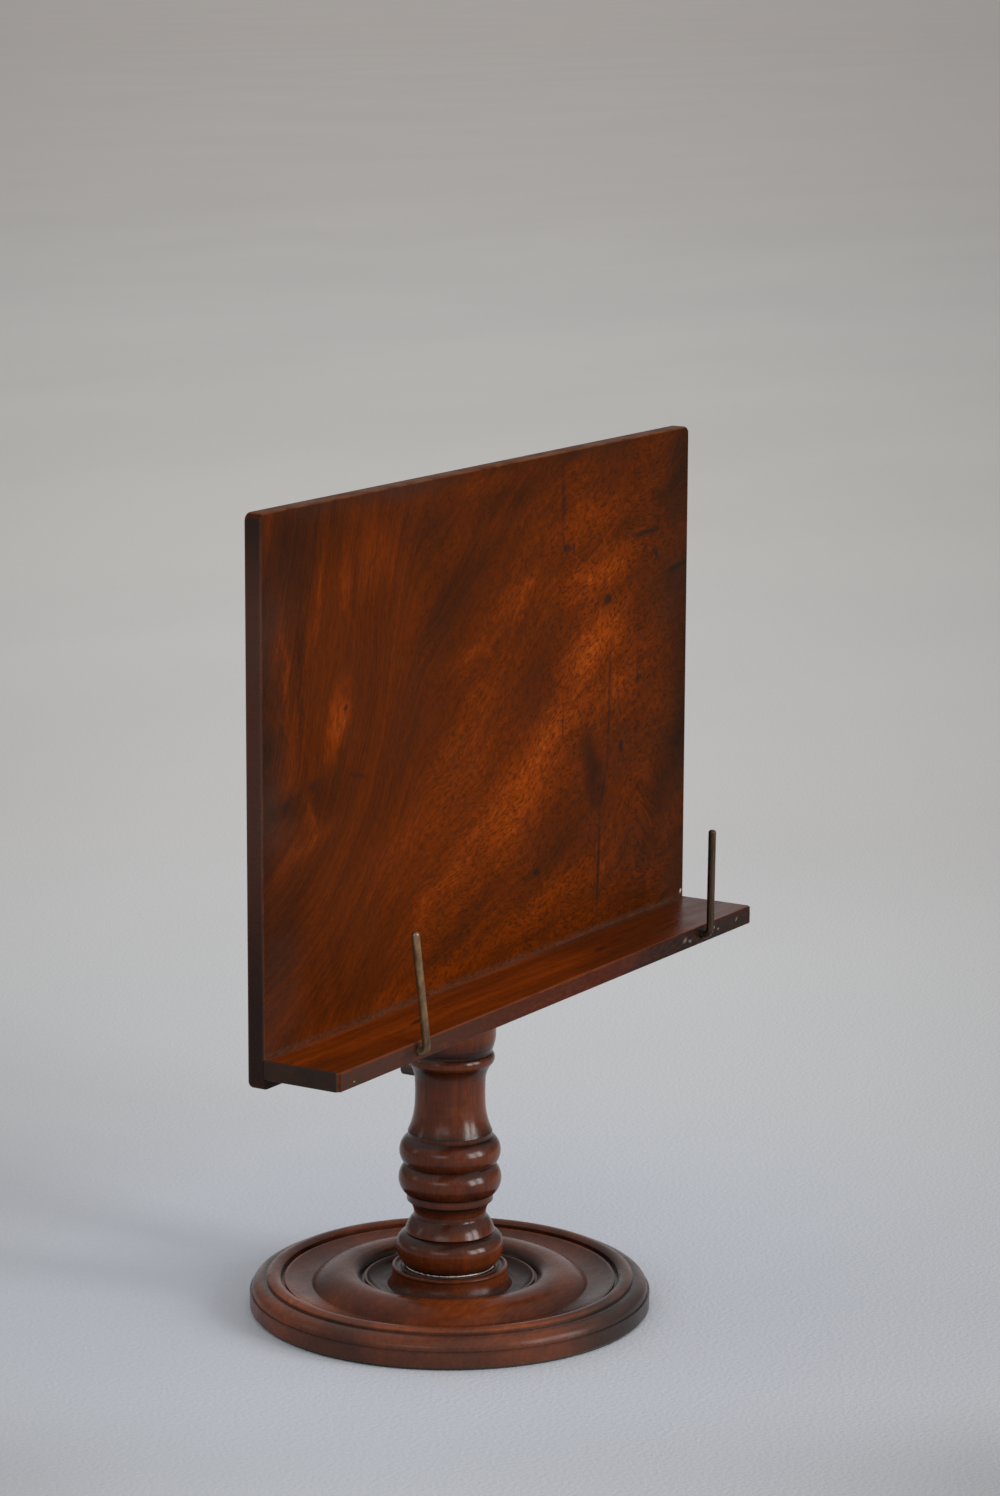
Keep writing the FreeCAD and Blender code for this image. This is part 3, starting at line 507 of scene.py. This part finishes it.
# height on the column and head, likewise: painted shade in the grooves, and painted shade and a painted dark
# reflection round the bead under the head
FOOT_TONE_AND_SHADE = [
    (0, 0.30), (21.5, 0.20), (22.6, 0.12), (24.5, 0.44), (28, 0.57), (33, 0.55), (36.5, 0.42),
    (38.6, 0.20), (40.3, 0.10), (40.8, 0.44), (41.6, 0.52), (43.5, 0.42), (46, 0.34), (48.4, 0.28),
    (50.5, 0.42), (52.5, 0.46), (54.5, 0.36), (56.4, 0.22), (57.3, 0.12), (57.9, 0.40), (59.6, 0.50),
    (61.0, 0.36), (61.7, 0.12), (63.5, 0.34), (68, 0.50), (72, 0.46),
]
RINGS_TONE_AND_SHADE = [
    (68, 0.54), (72, 0.50), (75, 0.36), (76.4, 0.20), (77.9, 0.34), (80.5, 0.48), (84, 0.54),
    (88.5, 0.44), (90.8, 0.12), (91.6, 0.24), (93.0, 0.44), (93.8, 0.14), (95.5, 0.36), (99, 0.48),
    (107, 0.52), (114, 0.52), (121, 0.48),
]
HEAD_TONE_AND_SHADE = [
    (114, 0.52), (121.8, 0.46), (125.8, 0.34), (127.4, 0.22), (129.3, 0.14), (129.8, 0.40),
    (131, 0.52), (133, 0.50), (134.8, 0.32), (135.4, 0.06), (136.5, 0.08), (139.0, 0.12),
    (140.2, 0.36), (146, 0.50), (160, 0.52), (165, 0.42), (200, 0.44), (262, 0.42),
]


def table_ramp(g, value, table):
    """The lightness that a table gives for a radius or height in millimetres."""
    low, high = table[0][0], table[-1][0]
    stops = [((place - low) / (high - low), lightness) for place, lightness in table]
    return g.ramp(g.math("DIVIDE", g.math("SUBTRACT", value, low), high - low), stops, "EASE")


def turned_wood(name, lightness, grain_sizes, dullness, tone_patches=(), sheen_tint=0.0, **constants):
    """Polished turned mahogany.  lightness(g, x, y, z) gives the tone that the form has there, painted light
    and shade of its mouldings included, and the patches list what they add to it, their centre and their
    reach in millimetres: wear, and on the base some painted light."""
    g = Graph(name)
    x, y, z = g.place()
    value = lightness(g, x, y, z)
    wide_x, wide_y, wide_z = grain_sizes
    wide = g.noise(x, y, z, (wide_x * 10, wide_y * 10, wide_z * 10), detail=2, distortion=0.4)
    ribbon = g.noise(x, y, z, (wide_x * 3, wide_y * 3, wide_z * 3), detail=3, roughness=0.6)
    fine = g.noise(x, y, z, grain_sizes, detail=3, roughness=0.65)
    fleck = g.noise(x, y, z, tuple(size * 0.5 for size in grain_sizes), detail=2)
    mottle = g.noise(x, y, z, (22, 22, 22), detail=5, roughness=0.65)
    value = g.add(
        value, g.signed(wide, 0.09), g.signed(ribbon, 0.10), g.signed(fine, 0.19),
        g.signed(mottle, 0.22), 0.04)
    stains = g.noise(x, y, z, (34, 34, 14), detail=4, roughness=0.65)
    value = g.add(value, g.between(stains, 0.52, 0.68, 0.0, -0.09))
    for strength, centre, reach in tone_patches:
        away = g.distance(g.point(x, y, z), centre)
        value = g.add(value, g.times(g.between(away, reach, reach * 0.2), strength))
    pores = g.between(fleck, 0.58, 0.72)
    value = g.add(value, g.times(pores, -0.10))
    colour = g.ramp(value, TURNED)
    specks = g.noise(x, y, z, (1.6, 1.6, 1.6), detail=1)
    colour = g.mix(g.between(specks, 0.80, 0.84, 0.0, 0.5), colour, tone(140, 116, 90))
    if sheen_tint:
        # a greyish tint towards the outer rim: painted sheen
        to_rim = g.between(g.away_from_axis(x, y), 84.0, 94.0, 0.0, sheen_tint)
        colour = g.mix(to_rim, colour, tone(150, 140, 134))
    sheen = g.noise(x, y, z, (16, 16, 16), detail=5, roughness=0.7)
    roughness = g.between(sheen, 0.3, 0.7, *dullness)
    height = g.add(g.times(fine, 0.3), g.times(pores, -0.3), g.times(sheen, 0.5))
    return g.surface(colour, roughness, g.bump(height, 0.08 * MM), **constants)


def base_lightness(g, x, y, z):
    radius = g.away_from_axis(x, y)
    blur = g.signed(g.noise(x, y, z, (10, 10, 10), detail=3), 0.35)
    blurred = g.add(radius, blur)
    inner = table_ramp(g, blurred, WELL_TONE_AND_SHADE)
    outer = table_ramp(g, blurred, RIM_TONE_AND_SHADE)
    value = g.mix(g.between(radius, 55.0, 60.0), inner, outer)
    side = g.between(radius, 102.0, 102.8)
    # the side: painted shade darker at its foot and in the step under the rim
    skirt = g.ramp(g.times(z, 0.05), [
        (0.0, 0.16), (0.09, 0.34), (0.16, 0.36), (0.42, 0.38), (0.46, 0.28), (0.50, 0.16)])
    return g.add(g.times(value, g.math("SUBTRACT", 1.0, side)), g.times(skirt, side))


def column_lightness(g, x, y, z):
    blur = g.signed(g.noise(x, y, z, (8, 8, 8), detail=3), 0.3)
    height = g.add(z, blur)
    foot = table_ramp(g, height, FOOT_TONE_AND_SHADE)
    rings = table_ramp(g, height, RINGS_TONE_AND_SHADE)
    head = table_ramp(g, height, HEAD_TONE_AND_SHADE)
    shaft = g.mix(g.between(z, 68.0, 72.0), foot, rings)
    return g.mix(g.between(z, 114.0, 121.0), shaft, head)


def dark_wood(name):
    g = Graph(name)
    x, y, z = g.place()
    fibre = g.noise(x, y, z, (0.8, 5, 0.8), detail=3, roughness=0.6)
    mottle = g.noise(x, y, z, (4, 4, 4), detail=3)
    mixed = g.add(g.times(fibre, 0.6), g.times(mottle, 0.4))
    colour = g.ramp(mixed, [(0.3, tone(24, 15, 14)), (0.7, tone(70, 38, 28))])
    return g.surface(colour, g.between(mottle, 0.3, 0.7, 0.35, 0.5), g.bump(fibre, 0.1 * MM), Coat_Weight=0.2)


# ---------------------------------------------------------------- metal and baize

def aged_brass():
    g = Graph("aged_brass")
    x, y, z = g.place()
    patina = g.noise(x, y, z, (7, 7, 26), detail=4, roughness=0.6)
    spots = g.noise(x, y, z, (1.5, 1.5, 5.0), detail=3, roughness=0.6)
    drawn = g.noise(x, y, z, (0.35, 0.35, 14), detail=2)
    tarnish = g.add(g.times(patina, 0.7), g.times(spots, 0.3))
    colour = g.ramp(tarnish, [
        (0.34, tone(64, 48, 39)),
        (0.46, tone(104, 79, 58)),
        (0.56, tone(132, 105, 74)),
        (0.68, tone(160, 134, 94)),
    ])
    # the right wire is the darker one, and both are rusty at the foot and reddish at the tip
    colour = g.mix(g.between(x, 0.0, 100.0, 0.0, 0.78), colour, tone(40, 28, 24))
    rust = g.between(g.noise(x, y, z, (3, 3, 4), detail=4), 0.58, 0.68)
    foot = g.between(z, 192.0, 176.0)
    colour = g.mix(g.times(rust, g.add(0.25, g.times(foot, 0.5))), colour, tone(92, 46, 32))
    tip = g.between(z, 230.5, 234.0)
    colour = g.mix(g.times(tip, 0.5), colour, tone(120, 84, 78))
    roughness = g.between(tarnish, 0.35, 0.7, 0.52, 0.30)
    height = g.add(g.times(spots, 0.6), g.times(drawn, 0.3))
    return g.surface(colour, roughness, g.bump(height, 0.02 * MM), Metallic=0.75)


def old_iron():
    g = Graph("old_iron")
    x, y, z = g.place()
    rust = g.noise(x, y, z, (1.6, 1.6, 1.6), detail=4, roughness=0.65)
    colour = g.ramp(rust, [(0.35, tone(58, 50, 44)), (0.5, tone(96, 86, 76)), (0.66, tone(92, 58, 38))])
    return g.surface(colour, g.between(rust, 0.3, 0.7, 0.38, 0.7), g.bump(rust, 0.08 * MM), Metallic=0.7)


def green_baize():
    g = Graph("green_baize")
    x, y, z = g.place()
    fibre = g.noise(x, y, z, (0.7, 0.7, 0.7), detail=4, roughness=0.7)
    tone_patches = g.noise(x, y, z, (26, 26, 26), detail=4, roughness=0.6)
    colour = g.mix(g.between(fibre, 0.3, 0.7), tone(18, 32, 24), tone(42, 66, 46))
    colour = g.mix(g.between(tone_patches, 0.5, 0.75, 0.0, 0.5), colour, tone(64, 66, 50))
    return g.surface(colour, 0.95, g.bump(fibre, 0.25 * MM), Sheen_Weight=0.3)


def dried_polish():
    g = Graph("dried_polish")
    x, y, z = g.place()
    flake = g.noise(x, y, z, (1.2, 1.2, 1.2), detail=4, roughness=0.6)
    colour = g.mix(g.between(flake, 0.30, 0.52), tone(130, 106, 94), tone(222, 213, 206))
    return g.surface(colour, 0.5, g.bump(flake, 0.1 * MM))


def assign(node, material):
    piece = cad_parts[node]
    piece.data.materials.clear()
    piece.data.materials.append(material)
    for polygon in piece.data.polygons:
        polygon.material_index = 0


# patches on the base: wear and stains, and the lighter patch at (-86, 52, 8) is painted light on its left
# side
BASE_PATCHES = [
    (0.20, (-46, -40, 18), 34),
    (0.14, (-60, -80, 12), 44),
    (0.12, (-84, -30, 12), 36),
    (0.20, (14, -86, 17), 16),
    (0.22, (-86, 52, 8), 56),
    (-0.36, (12, -102, 8), 56),
    (-0.20, (70, -74, 8), 50),
    (-0.10, (-50, 50, 15), 34),
]

assign("board", figured_board())
assign("ledge", figured_ledge())
base_wood = turned_wood(
    "polished_mahogany_base", base_lightness, grain_sizes=(8, 1.6, 1.6), dullness=(0.19, 0.33),
    tone_patches=BASE_PATCHES, sheen_tint=0.055, Specular_IOR_Level=0.15)
assign("base", base_wood)
column_wood = turned_wood(
    "polished_mahogany_column", column_lightness, grain_sizes=(1.2, 1.2, 11), dullness=(0.16, 0.27),
    Specular_IOR_Level=0.28)
assign("column", column_wood)
assign("swivel_head", column_wood)
assign("swivel_peg", dark_wood("dark_peg"))
assign("tenon_wedge", dark_wood("dark_wedge"))
assign("baize_pad", green_baize())
assign("ledge_screws", old_iron())
assign("head_screws", old_iron())
brass = aged_brass()
assign("page_holder_left", brass)
assign("page_holder_right", brass)


# ---------------------------------------------------------------- dried polish round the column's foot

def place_mesh(name, mesh, material):
    """A new piece of the scene from a finished mesh."""
    data = bpy.data.meshes.new(name)
    mesh.to_mesh(data)
    mesh.free()
    data.materials.append(material)
    piece = bpy.data.objects.new(name, data)
    bpy.context.collection.objects.link(piece)
    return piece


def polish_line():
    """A thin broken bead of old dried polish in the corner between the column's foot and the boss."""
    chance = random.Random(7)
    steps = 240
    sides = 6
    seat = 21.95
    bead_radius = 22.75
    breaks = ((10, 9), (60, 26), (118, 3), (168, 22), (205, 8))  # first step and number of steps
    thickness = [
        0.40 + 0.10 * math.sin(5 * math.tau * i / steps) + 0.12 * chance.random() for i in range(steps)]
    for first, length in breaks:
        for i in range(first, first + length):
            thickness[i % steps] *= 0.25
    mesh = bmesh.new()
    rings = []
    for i, size in enumerate(thickness):
        turn = math.tau * i / steps
        ring = []
        for k in range(sides):
            angle = math.tau * k / sides
            radius = bead_radius + size * math.cos(angle)
            height = seat + 0.9 * size * (1 + math.sin(angle))
            point = Vector((radius * math.cos(turn), radius * math.sin(turn), height)) * MM
            ring.append(mesh.verts.new(point))
        rings.append(ring)
    for i in range(steps):
        here, there = rings[i], rings[(i + 1) % steps]
        for k in range(sides):
            mesh.faces.new((here[k], there[k], there[(k + 1) % sides], here[(k + 1) % sides]))
    bmesh.ops.recalc_face_normals(mesh, faces=mesh.faces)
    piece = place_mesh("polish_line", mesh, dried_polish())
    for polygon in piece.data.polygons:
        polygon.use_smooth = True
    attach(piece, "stand")


polish_line()


# ---------------------------------------------------------------- floor, light and camera

def floor():
    """A pale cloth.  Its tone follows the distance from the stand, on a square root scale to 26 m: painted
    light that falls off over the cloth.
    """
    g = Graph("pale_cloth")
    x, y, z = g.place()
    away = g.away_from_axis(x, y)
    colour = g.ramp(g.math("POWER", g.math("DIVIDE", away, 26000.0), 0.5), [
        (0.088, tone(201, 205, 213)),
        (0.130, tone(208, 210, 212)),
        (0.173, tone(216, 216, 216)),
        (0.222, tone(219, 217, 215)),
        (0.276, tone(227, 224, 220)),
        (0.367, tone(226, 223, 217)),
        (0.450, tone(222, 219, 214)),
        (0.564, tone(213, 208, 202)),
        (0.883, tone(205, 198, 191)),
    ])
    # painted shade darkens the sweep towards its two long edges; lengthways starts 2.1 m before the stand
    sideways = g.add(g.times(x, HEADING_Y), g.times(y, -HEADING_X))
    lengthways = g.add(g.times(x, HEADING_X), g.times(y, HEADING_Y), 2100.0)
    off_middle = g.math("DIVIDE", sideways, g.math("MAXIMUM", lengthways, 1000.0))
    off_square = g.math("MINIMUM", g.times(off_middle, off_middle), 0.02)
    shade = g.math("MINIMUM", g.add(g.times(off_square, 8.5), g.times(off_middle, 0.25)), 0.18)
    nearer = g.between(lengthways, 1980.0, 1840.0)
    shade = g.add(shade, g.times(nearer, g.add(g.times(off_square, 6.0), 0.10)))
    shade = g.times(shade, g.between(lengthways, 1300.0, 1750.0))
    # and painted shade under the window panes
    from_panes = g.distance(g.point(x, y, 0.0), (0.0, -2600.0, 0.0))
    shade = g.add(shade, g.between(from_panes, 2250.0, 500.0, 0.0, 0.6))
    colour = g.mix(shade, colour, (0.0, 0.0, 0.0, 1.0))
    # faint painted shade of folds in the cloth
    fold_shade = g.noise(x, y, 0.0, (900, 500, 1), detail=3)
    colour = g.mix(g.between(fold_shade, 0.3, 0.7, 0.0, 0.10), colour, tone(170, 170, 172))
    weave = g.noise(x, y, 0.0, (2.5, 2.5, 1), detail=1)
    shader = g.surface(colour, 0.95, g.bump(weave, 0.3 * MM))
    mesh = bmesh.new()
    bmesh.ops.create_circle(mesh, cap_ends=True, radius=60.0, segments=96)
    place_mesh("floor", mesh, shader)


def room_light():
    """A pale ceiling, a lit wall behind the stand and a dimmer room in front of it."""
    world = bpy.data.worlds.new("room")
    world.use_nodes = True
    tree = world.node_tree
    direction = tree.nodes.new("ShaderNodeSeparateXYZ")
    place = tree.nodes.new("ShaderNodeTexCoord").outputs["Generated"]
    tree.links.new(place, direction.inputs[0])

    def between(value, low, high, out_low, out_high):
        node = tree.nodes.new("ShaderNodeMapRange")
        node.interpolation_type = "SMOOTHSTEP"
        for socket, setting in zip(node.inputs, (value, low, high, out_low, out_high)):
            if isinstance(setting, bpy.types.NodeSocket):
                tree.links.new(setting, socket)
            else:
                socket.default_value = setting
        return node.outputs[0]

    behind = tree.nodes.new("ShaderNodeVectorMath")
    behind.operation = "DOT_PRODUCT"
    tree.links.new(place, behind.inputs[0])
    behind.inputs[1].default_value = (HEADING_X, HEADING_Y, 0.0)
    sides = between(direction.outputs["X"], 0.0, -0.9, 0.14, 0.34)
    horizon = between(behind.outputs["Value"], 0.84, 0.98, sides, 0.72)
    strength = between(direction.outputs["Z"], 0.0, 0.85, horizon, 0.70)
    background = tree.nodes["Background"]
    background.inputs["Color"].default_value = (0.98, 0.985, 1.0, 1.0)
    tree.links.new(strength, background.inputs["Strength"])
    bpy.context.scene.world = world


def window(name, bearing, height, distance, width, tall, radiance):
    """A soft pane of light.  The bearing is in degrees from +X, and the height is of its middle."""
    lamp = bpy.data.lights.new(name, "AREA")
    lamp.shape = "RECTANGLE"
    lamp.size = width
    lamp.size_y = tall
    lamp.energy = radiance * math.pi * width * tall
    lamp.color = (1.0, 0.99, 0.97)
    pane = bpy.data.objects.new(name, lamp)
    bpy.context.collection.objects.link(pane)
    angle = math.radians(bearing)
    pane.location = (distance * math.cos(angle), distance * math.sin(angle), height)
    middle_of_stand = Vector((0, 0, 0.22))
    aim = middle_of_stand - pane.location
    pane.rotation_euler = aim.to_track_quat("-Z", "Y").to_euler()
    pane.visible_camera = False


def camera():
    """Stands where the photograph was taken from."""
    place = Vector((-1.78347, -1.12621, 0.71144))
    yaw, pitch, roll = math.radians(-58.399), math.radians(11.223), math.radians(0.263)
    focal_pixels = 4274.77
    picture_height = 1496
    ahead = Vector((-math.sin(yaw) * math.cos(pitch), math.cos(yaw) * math.cos(pitch), -math.sin(pitch)))
    right = Vector((math.cos(yaw), math.sin(yaw), 0))
    up = right.cross(ahead)
    turned_right = math.cos(roll) * right + math.sin(roll) * up
    turned_up = math.cos(roll) * up - math.sin(roll) * right
    lens = bpy.data.cameras.new("camera")
    lens.sensor_fit = "VERTICAL"
    lens.sensor_height = 36.0
    lens.lens = focal_pixels / picture_height * lens.sensor_height
    lens.clip_end = 200.0
    view = bpy.data.objects.new("camera", lens)
    bpy.context.collection.objects.link(view)
    pose = Matrix((turned_right, turned_up, -ahead)).transposed().to_4x4()
    pose.translation = place
    view.matrix_world = pose
    bpy.context.scene.camera = view


floor()
room_light()
window("left_pane", bearing=265.0, height=0.93, distance=2.6, width=0.60, tall=1.2, radiance=12.5)
window("right_pane", bearing=285.0, height=0.93, distance=2.6, width=0.56, tall=1.2, radiance=12.5)
window("lamp_lit_wall", bearing=190.0, height=1.35, distance=3.4, width=2.0, tall=0.5, radiance=4.0)
window("side_wall", bearing=122.0, height=1.2, distance=3.2, width=0.3, tall=1.0, radiance=2.5)
camera()
bpy.context.scene.view_settings.view_transform = "Standard"
